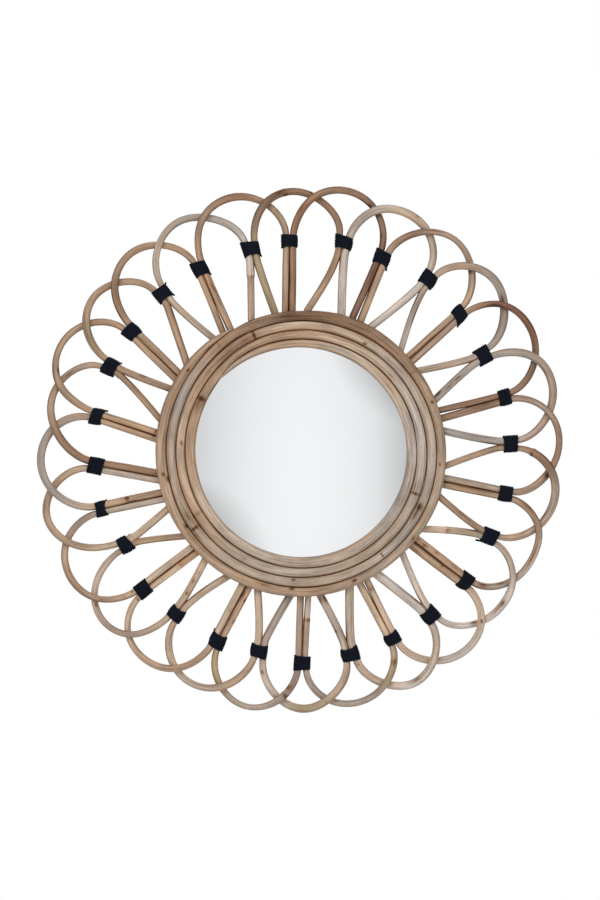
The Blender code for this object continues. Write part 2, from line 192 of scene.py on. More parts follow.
# One row per lashing, anticlockwise from the top: its bearing and distance, the bearings of its
# anticlockwise and clockwise feet, the gap between legs side by side or how much each leg of a
# fork bows before it spreads, and how much further its clockwise and anticlockwise canes stand
# apart at its outer end. Then how far out its winding ends at its anticlockwise side, middle and
# clockwise side, at its outer and its inner end, and how far from the middle its anticlockwise
# and its clockwise side stand at their outer end, halfway and at their inner end. Last, how far
# clockwise and out the two loose ends of its cord reach.
LASHINGS = [Lashing(*row) for row in (
    (93.1, 241, 96.2, 93.4, -0.4, 0.5, 0.5, (8, 8, 7.3), (-8.7, -5.7, -7.7),
     (10, 9.8, 9.5), (9, 9.5, 9)),
    (103.8, 239, 109.9, 100.9, (0.1, 0.3), 1.5, 1.5, (9.5, 8.5, 7), (-10, -6.2, -9.5),
     (11.5, 10.5, 9.5), (10, 10, 9.8), (9.9, -11.3)),
    (118.8, 238.8, 122.7, 119.9, 1.1, 0.5, 0.5, (9.7, 8.7, 7.2), (-9.5, -6.8, -9.8),
     (10, 9.6, 8.5), (8.2, 9, 9), (9, -11.1)),
    (131.2, 240, 141.8, 127.9, (0, 0.4), 1.5, 1.5, (9, 8.5, 8), (-9.2, -6, -8.5),
     (10, 10, 9.5), (9.5, 9.6, 10), (9.9, -9.8), (11, 8.6)),
    (144.6, 237.5, 149.8, 147, -0.4, 0.5, 0.5, (8, 8.5, 7.5), (-8.5, -7.5, -10),
     (10.5, 9.8, 8.5), (8.6, 9.5, 8.5)),
    (155.9, 238.5, 166.5, 154.2, (0.3, 0.4), 1.5, 1.5, (8.5, 9.7, 7), (-9.7, -6.5, -9),
     (11, 10.5, 9.3), (9.4, 10, 9.5), (10.3, -9.8)),
    (170.1, 237, 175.1, 172.1, 0, 0.5, 0.5, (7.5, 7.5, 6.3), (-9, -5.5, -8),
     (10.8, 10, 8.2), (8.5, 9.6, 10), (9.6, -10.8)),
    (183.9, 235, 191.1, 188.2, -0.2, 0.5, 0.5, (9.5, 9, 8), (-7.5, -8.5, -9.5),
     (9.5, 9.5, 10), (9.8, 10, 9.5)),
    (195.9, 237.5, 198.9, 196.1, -0.3, 0.5, 0.5, (7.3, 6, 7), (-8, -4.5, -8),
     (9, 9, 8.5), (8.3, 9.3, 8.8), (8.9, -9)),
    (207.8, 226.5, 215.3, 203.3, (0.2, 0.1), 1.3, 0.7, (8, 8.5, 8.5), (-9.3, -7, -4),
     (9.6, 10, 9), (9.4, 10, 9.8)),
    (221, 239.2, 223.9, 221.1, -0.4, -0.7, 0.7, (9, 8.3, 8.3), (-8.4, -8.7, -9.4),
     (9.5, 9.4, 9), (9, 9, 9), (), (1.5, 10.8)),
    (232.3, 233.5, 239.1, 228.6, (0.6, 0.4), 0.5, 1.1, (7.5, 8, 7), (-9.5, -6, -8),
     (10.3, 9.8, 8.5), (8.6, 9.5, 9)),
    (246.1, 236, 249, 246.1, -0.4, -0.3, 0.5, (8.7, 9, 7.5), (-9.7, -7, -9.5),
     (10.5, 9.8, 8.8), (8.2, 9.6, 9), (9, -11.8)),
    (258.1, 232.5, 265.2, 252.8, (0.2, 0.4), 0, 2.5, (8.5, 7.5, 7), (-9, -6.5, -8.5),
     (10, 9.8, 9), (9, 10.3, 10)),
    (270.2, 241, 272.7, 269.9, 0.9, 0.5, 2.2, (7.5, 8, 9), (-7.7, -7.5, -9),
     (10, 10, 10), (9.5, 9.2, 9)),
    (283.6, 237.5, 289.4, 277.9, (0.3, 0.4), 1.6, 1.4, (8.5, 8.5, 7.5), (-10.5, -5.5, -8.5),
     (11, 11, 10), (9.6, 10.5, 9.5)),
    (296.1, 237, 297.1, 294.1, 0.8, 0.5, 0.5, (7.2, 7.5, 6.5), (-8.5, -5.5, -8),
     (9.3, 9.2, 8.5), (8.5, 9.8, 8.2)),
    (308.5, 237.8, 314.5, 302.2, (0.4, 0.1), 0.7, 1.5, (8.2, 9.2, 8.2), (-11, -6.8, -8.3),
     (10, 9.5, 8.7), (9.6, 10.8, 10.2)),
    (321.8, 239, 323, 320, -0.4, 0.2, 0.5, (7.3, 8, 5.5), (-9.5, -6, -7.5),
     (10.5, 10.2, 10), (8.6, 10.5, 10.2)),
    (336, 236.3, 342, 328.2, (0.4, 0.4), 1.5, -0.2, (9.7, 9.2, 7.7), (-10.3, -7.8, -9.8),
     (9, 8.8, 8.5), (9.5, 10, 10), (10.5, -13.8)),
    (348.4, 238.8, 349.8, 347, -0.4, 0.5, 0.5, (7.4, 7.7, 8.5), (-8.3, -8, -8.3),
     (9.5, 9.3, 9), (7.8, 9, 8.8)),
    (2.2, 240, 8.1, 354.7, (0.3, 0.3), 1.5, 0.1, (8.5, 8, 7), (-9, -8, -9),
     (10, 9.9, 9.8), (9.5, 9.6, 9.5)),
    (15, 240.8, 16.6, 13.6, 1.5, -0.5, 0.5, (7.5, 7.2, 7), (-7, -6.8, -8.3),
     (9.5, 9.5, 9), (9, 9.5, 8.5)),
    (27.9, 236, 34.1, 21.7, (0.3, 0.3), 1.5, 1.5, (8.5, 8.5, 8), (-11, -6.5, -10),
     (10.5, 10.1, 9.5), (10, 10.2, 10.2)),
    (41, 239.5, 41.9, 39.1, -0.4, 0.5, 0.5, (9.3, 8.5, 6.5), (-6.5, -6.5, -10.5),
     (9, 9.5, 8.2), (8, 9.3, 9.3), (9.3, -11.7)),
    (53.6, 245, 60.3, 46.3, (0.3, 0.6), 1.5, 1.1, (9.3, 9, 7), (-9.3, -7, -10),
     (10, 9.8, 9), (8.6, 10, 9)),
    (67.3, 240.3, 68.8, 65.8, 1.1, 0.5, 0.5, (9.2, 8.2, 7.7), (-9.3, -6.3, -9.8),
     (10.3, 9.9, 9), (8.6, 9.8, 9.3), (9.9, -12.3)),
    (78.5, 244.2, 86.4, 73.9, (0.8, 0.3), 1, 3, (8.3, 7.8, 6.3), (-8.4, -6.2, -8.7),
     (11.5, 10.3, 8.8), (9.6, 10.8, 10)),
)]

# One row per petal: the bearing and distance of the place where it passes over the next petal,
# the distance of its tip, its finish, and its width, before any swell, and tone at five places
# from its anticlockwise foot to its clockwise one.
PETALS = [Petal(*row[:3], f"cane_{row[3]}", row[4], row[5].split()) for row in (
    (98.1, 287, 298, "brown", (7.6, 8.5, 8, 7.5, 7.1), "olive umber brown brown tan"),
    (112.5, 290.5, 301.5, "brown", (7.8, 7.5, 8.5, 7.5, 7.6), "tan tan brown tan tan"),
    (124.4, 287, 298, "grey", (6.5, 7.5, 8, 8.5, 8), "sand sand ash ash pale"),
    (137.8, 287, 299, "tan", (7.8, 8.5, 8, 7.5, 7.1), "tan umber tan tan tan"),
    (149.2, 285.5, 295.5, "tan", (6.9, 8.5, 8, 7.5, 7.4), "tan olive honey tan tan"),
    (164.1, 287.5, 300.5, "tan", (7.5, 8.5, 7, 7.5, 7.3), "honey tan tan tan honey"),
    (174.2, 283, 291, "tan", (8.4, 9, 8, 7, 6), "brown brown tan rose tan"),
    (188.5, 288, 297.5, "grey", (7.9, 8, 8.5, 9, 6.8), "honey ash ash ash honey"),
    (200.8, 286.5, 299.8, "tan", (7.1, 8, 8, 8, 7.3), "cream tan honey honey sand"),
    (215.1, 289, 300, "tan", (8.2, 7, 8, 7.5, 7.4), "cream rose tan rose sand"),
    (226.5, 287, 297.3, "tan", (7.4, 7, 7, 7.5, 6.3), "cream rose rose pale tan"),
    (239.8, 286, 296.5, "tan", (8.4, 7.5, 7.5, 7, 7.4), "cream tan honey cream cream"),
    (251.1, 283.5, 292.5, "tan", (7.4, 8.5, 7.5, 8, 6.9), "cream honey sand cream beige"),
    (265, 283.5, 297.5, "grey", (7.9, 8, 6.5, 7.5, 7.4), "rose dusk sand olive honey"),
    (276.1, 284.5, 293.5, "grey", (7.8, 8.5, 9, 8, 7.6), "sand rose olive pale ash"),
    (289.9, 282, 293.5, "tan", (7.7, 7.5, 7.5, 7.5, 6.9), "cream olive ash ash rose"),
    (302.3, 282.5, 294, "grey", (9.6, 8.5, 9, 8.5, 8.6), "pale sand pale sand sand"),
    (316.7, 283, 294.5, "grey", (9.1, 8, 8.5, 8, 7.3), "tan cream pale sand cream"),
    (328.7, 283, 289, "grey", (6.8, 7, 8.5, 7, 6.7), "beige sand pale pale pale"),
    (342.5, 284, 291, "tan", (7.4, 7.5, 7.5, 7.5, 8.4), "tan tan sand ash honey"),
    (355.9, 286, 294.5, "tan", (7.4, 9, 9, 8, 6.4), "rose brown sand rose tan"),
    (9, 287, 295.5, "brown", (8.2, 7, 7, 8, 7.6), "brown dusk brown tan beige"),
    (21.8, 288.5, 297.5, "grey", (7.3, 9, 9, 8, 7.5), "ash ash rose rose ash"),
    (35.8, 286.5, 297.8, "brown", (7.3, 7, 7.5, 7.5, 7), "rose russet russet umber brown"),
    (47.4, 287.5, 296, "grey", (6.1, 8, 9, 9.5, 6.6), "ash rose ash dusk sand"),
    (60, 290.5, 299.7, "tan", (8.1, 7.5, 6.5, 8, 7), "honey brown rose tan honey"),
    (72.7, 289, 298.5, "grey", (8.4, 9.5, 9.5, 8, 7.4), "pale ash cream sand pale"),
    (86.9, 292, 303, "brown", (7.8, 8, 8, 7.5, 8.1), "brown brown brown umber russet"),
)]

# The ring's cane: how far it has turned since its inner end, in degrees clockwise, and how far
# its inner and outer edge then lie from the mirror's middle
RING = (
    (0, 125, 126.8), (4, 123.5, 126.8), (9, 122.8, 127.5), (19, 122, 128.6), (29, 120.8, 128.9),
    (39, 120.2, 128.5), (49, 119.8, 128.5), (69, 119.2, 128.8), (99, 119.6, 130.2),
    (129, 121, 131.8), (159, 121.2, 132.8), (189, 120.5, 133.2), (219, 120.4, 132.8),
    (249, 120, 131.5), (279, 120, 130.8), (309, 120.5, 131.9), (339, 121.8, 133),
    (359, 123.9, 134.2),
    (369, 127.6, 135.5), (379, 129, 137), (389, 129.2, 138.3), (409, 128.8, 139.5),
    (429, 129, 139.4), (459, 130.4, 141.1), (489, 132, 143), (519, 133, 144.4),
    (549, 133.3, 144), (579, 132.9, 143.2), (609, 131.7, 142.9), (639, 131.1, 142.7),
    (669, 132.1, 142.4), (699, 133.2, 143.4), (719, 134.4, 145.3), (729, 135.7, 146.5),
    (739, 137.2, 148.4), (749, 138.5, 148.8), (769, 139.7, 149.4), (789, 139.6, 150),
    (819, 141.3, 151.6), (849, 143.2, 154.3), (879, 144.6, 155.5), (909, 144.2, 154),
    (939, 143.4, 154.2), (969, 143.1, 153.8), (999, 142.9, 154.5), (1029, 142.6, 153.3),
    (1059, 143.6, 154.5), (1079, 145.5, 155.6), (1089, 146.7, 157.4), (1099, 148.6, 159.4),
    (1109, 149, 160.9), (1129, 149.6, 160.9), (1144, 149.8, 163.5), (1159, 150.6, 164.3),
    (1179, 151.7, 163.3), (1209, 154.4, 165), (1239, 155.6, 166.4), (1269, 154.2, 163.8),
    (1299, 154.3, 165), (1329, 154, 165.3), (1359, 154.6, 165), (1389, 153.5, 165.8),
    (1419, 154.7, 166.1), (1439, 155.8, 165.9), (1449, 157.6, 165), (1454, 158.6, 163.8),
    (1459.5, 159.9, 161.4),
)

# Dark marks on the petal canes: the petal, the bearing and distance of the mark's middle, how far
# it reaches along and across the cane, and how dark it is
PETAL_MARKS = (
    (1, 93.5, 294, 2.5, 1.2, 0.8), (1, 94.8, 296, 6, 2.5, 0.35), (1, 87.2, 296, 5, 1.5, 0.5),
    (2, 118.3, 217, 6, 0.7, 0.45), (2, 118.1, 210, 4, 0.6, 0.4), (3, 105.9, 208, 1, 3.5, 0.35),
    (5, 154.2, 200, 3.5, 1.2, 0.6), (6, 171.9, 167, 1, 3, 0.9), (6, 161.4, 292, 3, 1.2, 0.7),
    (7, 158.6, 224, 1.3, 1.1, 0.9), (7, 161.2, 279, 8, 0.9, 0.6), (7, 165.1, 286, 3, 1, 0.7),
    (8, 173.9, 168, 1, 2.5, 0.7), (8, 195, 205, 2, 1.8, 0.9), (8, 196.1, 201, 7, 0.8, 0.5),
    (10, 219.7, 251, 0.9, 0.9, 1), (10, 219.3, 262, 2, 0.8, 0.5), (11, 231.2, 208, 2, 1.5, 0.5),
    (11, 230.2, 192, 3, 1.3, 0.45), (11, 229.7, 181, 3, 1.3, 0.3), (11, 216.5, 292, 3, 1, 0.5),
    (12, 223, 188, 4, 2, 0.35), (12, 246, 198, 3, 1, 0.3), (12, 222, 250, 0.9, 1.2, 1),
    (13, 234.2, 194, 10, 0.8, 0.35), (14, 248.5, 207, 2, 1, 0.6), (14, 249.3, 180, 2.5, 1, 0.6),
    (14, 248, 174, 6, 0.8, 0.5), (14, 266.3, 279, 1.8, 3.5, 0.7), (14, 266.8, 269, 3, 2.5, 0.45),
    (14, 267.8, 268, 9, 2, 0.35), (15, 262.5, 171, 8, 1, 0.5), (15, 281.1, 209, 1.2, 1, 0.6),
    (15, 279.2, 170, 4, 0.9, 0.9), (15, 277.5, 171, 4, 0.9, 0.8), (15, 260, 255, 2.5, 1.2, 0.6),
    (15, 264.2, 281, 3, 1, 0.5), (15, 281.3, 268, 9, 0.8, 0.6), (16, 272.5, 192, 1.8, 3.4, 0.75),
    (16, 293.9, 262, 4, 2.5, 0.55), (17, 284.8, 250, 1.5, 1.5, 0.5), (17, 297.1, 291, 7, 1.2, 0.5),
    (17, 304.3, 280, 1.3, 1, 0.8), (18, 297.3, 174, 4, 2.6, 0.45), (18, 320.9, 207, 1.5, 1.2, 0.5),
    (18, 319.6, 173, 7, 0.7, 0.8), (18, 316.7, 283, 1.6, 1, 0.9), (19, 331.7, 190, 2.5, 2.6, 0.4),
    (19, 315.3, 277, 4, 2, 0.6), (19, 321.7, 287, 14, 1.6, 0.5), (19, 323.1, 288, 3, 1.5, 0.5),
    (20, 323.4, 191, 3, 1.3, 0.5), (20, 322.9, 175, 4, 2, 0.5), (20, 348, 199, 30, 1.4, 0.5),
    (20, 323.6, 257, 6, 2.2, 0.5), (20, 326.5, 273, 6, 1.5, 0.4), (20, 335.6, 290, 20, 1.2, 0.5),
    (20, 346.4, 266, 14, 1.3, 0.5), (21, 345.2, 286, 8, 1.2, 0.4), (21, 359.4, 263, 1.5, 4.5, 0.7),
    (22, 354.9, 282, 4, 1.5, 0.6), (22, 354.7, 283, 6, 3, 0.5), (23, 5, 215, 12, 0.9, 0.5),
    (23, 25.3, 198, 5, 0.7, 0.6), (23, 23.7, 184, 5, 0.7, 0.6), (23, 23, 170, 4, 1, 0.9),
    (24, 28.8, 300, 25, 1, 0.45), (24, 28.8, 296, 25, 0.8, 0.3), (24, 37.1, 278, 10, 1.5, 0.5),
    (25, 50.2, 203, 12, 0.7, 0.6), (25, 28.8, 262, 12, 0.9, 0.8), (25, 36.8, 288, 6, 1.2, 0.6),
    (26, 46.7, 282, 3, 1.5, 0.5), (27, 63.4, 300, 1.5, 1, 0.35), (28, 90, 277, 9, 1.5, 0.4),
    (28, 72, 285, 4, 2, 0.6), (28, 69.4, 262, 5, 2, 0.4), (28, 74.3, 292, 4, 2, 0.5),
)

# Nodes and knobs of the petal canes: the petal, the bearing and distance of the node, how much it
# stands proud, and how much thinner and in what tone the cane goes on to its nearer end
PETAL_NODES = (
    (1, 93.5, 297, 0.25, 0, ""), (3, 105.7, 208, 0.15, 1.3, "rose"),
    (7, 157.9, 224, 0.6, 0, ""), (9, 208.9, 219, 1.3, 0, ""), (14, 266.3, 279, 0.3, 0.4, ""),
    (16, 272.5, 192, 0.25, 0.2, "sand"), (17, 296.5, 252, 0.3, 0.3, ""),
    (21, 359.4, 263, 0.7, 1.2, "tan"), (19, 331.7, 190, 0.2, 0, "cream"),
    (12, 223, 190, 0.3, 0, "honey"),
)

# Dark marks on the ring, two of them painted shade: the bearing and distance of the mark's
# middle, how far it reaches along and across the cane, and how dark it is
RING_MARKS = (
    (112, 143.5, 1.2, 6, 0.9), (116.5, 144, 8, 5, 0.3), (152, 128.5, 2.2, 5, 0.7),
    (155, 129, 8, 5, 0.3), (213, 154.8, 2, 1.8, 0.9), (215.5, 148, 1.5, 6, 0.7),
    (210, 148.3, 8, 0.6, 0.6), (219, 152, 8, 0.8, 0.4), (211, 137, 2, 6, 0.3),
    (189, 158.7, 1.4, 1, 1.3), (191.5, 155.3, 3, 0.8, 1.2), (266.6, 145.8, 2, 1, 1),
    (266.3, 156.3, 2.5, 1, 1.3), (292.3, 158.4, 2.2, 0.9, 1.4), (322, 161.5, 3.5, 2, 0.4),
    (308, 149, 0.7, 2.5, 0.9), (335.5, 148.8, 4, 3, 0.7), (331, 148.5, 8, 1.5, 0.5),
    (339.7, 138, 1.1, 5, 0.75), (345, 141, 9, 0.8, 0.4), (354.7, 158.8, 1.4, 0.8, 1),
    (20.7, 159.8, 1.2, 0.8, 1.4), (59.7, 143.5, 2, 0.9, 1.2), (40, 133.3, 9, 0.6, 0.5),
    (144, 158.8, 1.4, 0.7, 1.1), (127.5, 154.5, 0.6, 3, 0.35), (35.5, 156, 0.5, 7, 0.3),
    (241.5, 138.3, 2.5, 1.2, 0.35), (255, 156.7, 6, 0.8, 0.5), (176, 136.5, 2.4, 0.7, 0.7),
    (97, 156.5, 10, 3, 0.25), (318, 139, 20, 3, 0.2), (85, 157, 30, 4, 0.25),
    # The first two marks on the next line are painted shade, in the groove by the ring's inner end
    (136.5, 126.6, 5, 0.5, 0.9), (136.5, 127.4, 6, 0.3, 0.9), (276, 158, 14, 3, 0.25),
    (343, 135.6, 7, 0.6, 0.6), (40, 135, 7, 0.4, 0.4), (131, 158.5, 10, 0.6, 0.5),
)

# Tones of the canes
TONES = {
    "pale": (0.73, 0.63, 0.55),
    "cream": (0.72, 0.545, 0.39),
    "sand": (0.59, 0.47, 0.365),
    "ash": (0.50, 0.425, 0.36),
    "dusk": (0.40, 0.31, 0.25),
    "beige": (0.53, 0.40, 0.29),
    "rose": (0.54, 0.39, 0.29),
    "tan": (0.51, 0.345, 0.225),
    "honey": (0.595, 0.405, 0.265),
    "olive": (0.46, 0.355, 0.215),
    "brown": (0.38, 0.23, 0.145),
    "umber": (0.295, 0.185, 0.115),
    "russet": (0.305, 0.165, 0.11),
}

# What warm and cool spots, flecks, marks and painted shade do to a cane's tone, and the tones of
# what isn't cane
WARM = (1.0, 0.86, 0.74)
COOL = (0.95, 0.98, 1.06)
FLECK = (0.42, 0.30, 0.22)
BROWNED_AND_SHADED = (0.66, 0.50, 0.39)
STAINED_AND_SHADED = (0.20, 0.15, 0.11)
CORD_TONES = ((0.004, 0.006, 0.012), (0.010, 0.013, 0.023))
CORD_DUST = (0.02, 0.024, 0.034)
SILVER_TONES = ((0.955, 0.962, 0.965), (0.975, 0.98, 0.98))
BOARD_TONES = ((0.30, 0.20, 0.125), (0.38, 0.265, 0.17))
BOARD_FIBRE = (0.20, 0.13, 0.08)
STEEL_TONES = ((0.5, 0.5, 0.51), (0.4, 0.4, 0.408))
FLOOR_TONES = ((0.86, 0.86, 0.86), (0.9, 0.9, 0.895))

# Contrast of the grain and gloss of each cane finish
CANE_FINISHES = {
    "cane_tan": (1.0, 0.35),
    "cane_brown": (1.1, 0.35),
    "cane_grey": (0.9, 0.35),
    "ring_cane": (1.0, 0.1),
}

# Stage and lights in metres and watts, lens and view in millimetres. The mirror shows a studio
# glow that falls off from its centre, and more towards two corners and the right
FLOOR_LEVEL = -0.76
FLOOR_RADIUS = 1.4
FLOOR_SEGMENTS = 96
LIGHTS = (
    ("key", (-0.9, -2.4, 1.5), 1.6, 26.0),
    ("fill", (1.6, -2.2, 0.2), 1.6, 9.0),
    ("back", (0.3, 1.8, 1.6), 1.2, 24.0),
)
AMBIENT = (0.15, 0.35)
GLOW_TINT = (0.985, 0.99, 1.0)
GLOW_EDGE = (-0.6, -0.2, 1.0, 0.0)
GLOW_PEAK = 0.935
GLOW_FLOOR = 0.5
LEAST_DEPTH = 0.05
GLOW_CENTRE = (0.001, -0.009)
GLOW_FALL = (265.0, 25.0)
GLOW_CORNERS = (0.00024, 0.00048, 0.0, 0.22)
GLOW_RIGHT = (0.022, 0.032, 0.0, 0.13)
LENS = 135.0
FAR_END = 100.0
VIEW_HEIGHT = 900.0 * 8 / 7
VIEW_CENTRE = (-1.14, 2.29)


def bearing(degrees):
    """A unit vector in the plane of the wall, anticlockwise from +X as seen from the front."""
    angle = math.radians(degrees)
    return np.array((math.cos(angle), math.sin(angle), 0.0))


def unit(vector):
    return vector / np.linalg.norm(vector)


def hermite(start, end, start_slope, end_slope, steps):
    points = []
    for i in range(steps + 1):
        t = i / steps
        points.append((2 * t**3 - 3 * t**2 + 1) * start + (t**3 - 2 * t**2 + t) * start_slope
                      + (3 * t**2 - 2 * t**3) * end + (t**3 - t**2) * end_slope)
    return points


def bent_through(keys, start_way, end_way):
    """The curve of a springy cane held at key points, with its direction given at both ends."""
    keys = np.array(keys)
    gaps = np.linalg.norm(np.diff(keys, axis=0), axis=1)
    left = np.eye(len(keys))
    right = np.zeros((len(keys), 3))
    right[0], right[-1] = start_way, end_way
    for i in range(1, len(keys) - 1):
        before, after = gaps[i - 1], gaps[i]
        left[i, i - 1:i + 2] = after, 2 * (before + after), before
        right[i] = 3 * (after * (keys[i] - keys[i - 1]) / before
                        + before * (keys[i + 1] - keys[i]) / after)
    slopes = np.linalg.solve(left, right)
    points = [keys[0]]
    for i, gap in enumerate(gaps):
        points += hermite(keys[i], keys[i + 1], slopes[i] * gap, slopes[i + 1] * gap, ARC_STEPS)[1:]
    return points


def lengths_along(points):
    """How far along a line each of its points lies."""
    steps = np.linalg.norm(np.diff(points, axis=0), axis=1)
    return np.concatenate(([0.0], np.cumsum(steps)))


def heading(points, i):
    """The way a line runs at one of its points."""
    return points[min(i + 1, len(points) - 1)] - points[max(i - 1, 0)]


def in_even_steps(points, step, rounding=round):
    gone = lengths_along(points)
    places = np.linspace(0.0, gone[-1], rounding(gone[-1] / step) + 1)
    return np.column_stack([np.interp(places, gone, points[:, i]) for i in range(3)])


def eased(points, step, reach):
    """The same line in even steps, with its corners eased over a distance."""
    dense = in_even_steps(np.array(points), 1.0, int)
    half = int(3 * reach)
    weights = np.exp(-0.5 * (np.arange(-half, half + 1) / reach) ** 2)
    weights /= weights.sum()
    before = 2 * dense[0] - dense[half:0:-1]
    after = 2 * dense[-1] - dense[-2:-half - 2:-1]
    padded = np.vstack((before, dense, after))
    smooth = np.column_stack([np.convolve(padded[:, i], weights, "valid") for i in range(3)])
    return in_even_steps(smooth, step)


def forked(k):
    """Whether the legs of lashing k spread into a fork. Otherwise they run side by side."""
    return isinstance(LASHINGS[k % len(LASHINGS)].lie, tuple)


def swells(k):
    """How much wider than in their table the canes of lashing k are below it and inside it."""
    return (FORK_SWELL, FORK_GRIP_SWELL) if forked(k) else (PAIR_SWELL, 0.0)


def lashing_frame(k):
    """The middle of lashing k, the way its canes run outward, and the way across them."""
    row = LASHINGS[k]
    centre = row.distance * bearing(row.angle)
    out = unit(centre - FOOT_RADIUS * (bearing(row.foot_a) + bearing(row.foot_c)) / 2)
    if forked(k):
        out = unit(out + bearing(row.angle))
    return centre, out, np.array((-out[1], out[0], 0.0))


def leg_width(k, side):
    """The width of the cane on one side of lashing k. Side +1 is anticlockwise."""
    return PETALS[(k + side) % len(PETALS)].widths[-1 if side > 0 else 0] + swells(k)[1]


def slot_point(k, side, along):
    """Where a cane's centreline lies in lashing k, at a place along it from its middle."""
    centre, out, across = lashing_frame(k)
    spread = LASHINGS[k].spread_a if side > 0 else LASHINGS[k].spread_c
    apart = (leg_width(k, side) + (FORK_GAP if forked(k) else CLOSE_GAP)) / 2
    offset = side * (apart + spread * (along + GRIP / 2) / GRIP)
    return centre + offset * across + along * out


def leg(k, side):
    """One leg, from its hidden end to the outer end of lashing k."""
    row = LASHINGS[k]
    out, across = lashing_frame(k)[1:]
    near = slot_point(k, side, -GRIP / 2)
    if forked(k):
        foot = FOOT_RADIUS * bearing(row.foot_a if side > 0 else row.foot_c)
        near = near - FORK_TOUCH * out - side * FORK_PINCH * across
        chord = near - foot
        bow = row.lie[0 if side > 0 else 1]
        slope = np.linalg.norm(chord) * unit(bow * out + (1.0 - bow) * unit(chord))
        start = (3 * chord - slope) / 2
        line = [foot - FORK_TUCK * unit(start)] + hermite(foot, near, start, slope, FORK_STEPS)
    else:
        middle = FOOT_RADIUS * bearing((row.foot_a + row.foot_c) / 2)
        apart = (leg_width(k, 1) + leg_width(k, -1)) / 4 + (PAIR_SWELL + row.lie) / 2
        foot = middle + side * apart * np.array((-middle[1], middle[0], 0.0)) / FOOT_RADIUS
        touch = near - PAIR_TOUCH * out + side * PAIR_SWELL / 2 * across
        line = [foot - PAIR_TUCK * unit(near - foot), foot, touch, near]
    return line + [slot_point(k, side, GRIP / 2)]


def petal_line(k):
    """The whole centreline of petal k, from its anticlockwise end to its clockwise end."""
    after, before = (k + 1) % len(PETALS), (k - 1) % len(PETALS)
    first, last = leg(after, -1), leg(before, +1)
    over, under = PETALS[k], PETALS[before]
    rise, sink = ((upper.widths[1] + lower.widths[3]) / 4 + WEAVE_ROOM
                  for upper, lower in ((over, PETALS[after]), (under, over)))
    low = under.over_angle - (360.0 if under.over_angle > over.over_angle else 0.0)
    keys = [
        first[-1],
        over.over_distance * bearing(over.over_angle) + rise * OFF_WALL,
        over.tip_distance * bearing((over.over_angle + low) / 2),
        under.over_distance * bearing(low) - sink * OFF_WALL,
        last[-1],
    ]
    (out_a, across_a), (out_c, across_c) = (lashing_frame(j)[1:] for j in (after, before))
    c, s, _ = bearing(EXIT_ANGLE)
    arc = bent_through(keys, c * out_a - s * across_a, -c * out_c - s * across_c)
    return eased(first + arc[1:-1] + last[::-1], CANE_STEP, SOFTENING) + CANE_HEIGHT * OFF_WALL


def on_wall(point):
    """A point across, up and off the wall in millimetres, as a place in the row frame."""
    return Vector((point[0] * MM, -point[2] * MM, point[1] * MM))


def stations(points, girths, front, twist):
    """One matrix per point, which puts a unit circle there square to the line.

    A circle's Y faces the given front, and each is turned by the twist from the one before.
    """
    places = [on_wall(point) for point in points]
    made = []
    for i, (wide, deep) in enumerate(girths):
        along = heading(places, i).normalized()
        facing = Vector(front)
        facing = (facing - along * facing.dot(along)).normalized()
        across = facing.cross(along)
        c, s = math.cos(twist * i), math.sin(twist * i)
        turning = Matrix((
            (across * c + facing * s) * wide * MM,
            (facing * c - across * s) * deep * MM,
            along,
        )).transposed()
        made.append(Matrix.Translation(places[i]) @ turning.to_4x4())
    return made


def drawn_out(name, points, girths, sides, start, label=None, front=FRONT, twist=0.0, lobe=0.0):
    """A straight rod, cut across once for each point and then bent to the line of the points.

    girths holds its half widths across and to the front at each point, in millimetres. The
    vertices carry where they lie on the straight rod and, from a label, their tone and their
    darkness from marks and painted shade.
    """
    frames = stations(points, girths, front, twist)
    gone = lengths_along(points)
    last = len(points) - 1
    body = bmesh.new()
    bmesh.ops.create_cone(body, cap_ends=True, segments=sides, radius1=1.0, radius2=1.0,
                          depth=last)
    bmesh.ops.subdivide_edges(body, edges=upright(body, last), cuts=last - 1)
    lay = body.verts.layers.float_vector.new("lay")
    tone = body.verts.layers.float_color.new("tone")
    mark_and_shade = body.verts.layers.float.new("mark_and_shade")
    for vert in body.verts:
        i = round(vert.co.z + last / 2)
        across, facing, _ = vert.co
        wide, deep = girths[i]
        vert[lay] = ((start + gone[i]) * MM, across * wide * MM, facing * deep * MM)
        if label:
            vert[tone], vert[mark_and_shade] = label(i, across, facing)
        swell = 1.0 + lobe * math.cos(3 * math.atan2(facing, across))
        vert.co = frames[i] @ Vector((across * swell, facing * swell, 0.0))
    bmesh.ops.recalc_face_normals(body, faces=body.faces)
    for face in body.faces:
        face.smooth = len(face.verts) == 4
    return finished(name, body)


def upright(body, height):
    """The edges that run up a body of the given height."""
    return [edge for edge in body.edges
            if abs(edge.verts[0].co.z - edge.verts[1].co.z) > height / 2]


def placed(name, data):
    made = bpy.data.objects.new(name, data)
    bpy.context.scene.collection.objects.link(made)
    return made


def finished(name, body):
    mesh = bpy.data.meshes.new(name)
    body.to_mesh(mesh)
    body.free()
    return placed(name, mesh)


def hung(piece, surface, packed):
    """Gives a piece its material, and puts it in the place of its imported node."""
    piece.data.materials.append(surface)
    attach(piece, "root")
    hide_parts(packed)


# Shader tools


def fed(made, inputs):
    """Gives a node its inputs, each a value or a socket to link, and returns its outputs."""
    for key, value in inputs.items():
        if isinstance(value, bpy.types.NodeSocket):
            made.id_data.links.new(value, made.inputs[key])
        else:
            made.inputs[key].default_value = value
    return made.outputs


def node(kind, inputs=None, tree=None, **settings):
    """The outputs of a new node, in the given tree or that of the sockets that feed it."""
    inputs = inputs or {}
    tree = tree or next(value.id_data for value in inputs.values()
                        if isinstance(value, bpy.types.NodeSocket))
    made = tree.nodes.new(f"ShaderNode{kind}")
    for key, value in settings.items():
        setattr(made, key, value)
    return fed(made, inputs)


def maths(operation, a, b, clamp=False):
    return node("Math", {0: a, 1: b}, operation=operation, use_clamp=clamp)[0]


def scaled(colour, by):
    return node("VectorMath", {0: colour, 3: by}, operation="SCALE")[0]


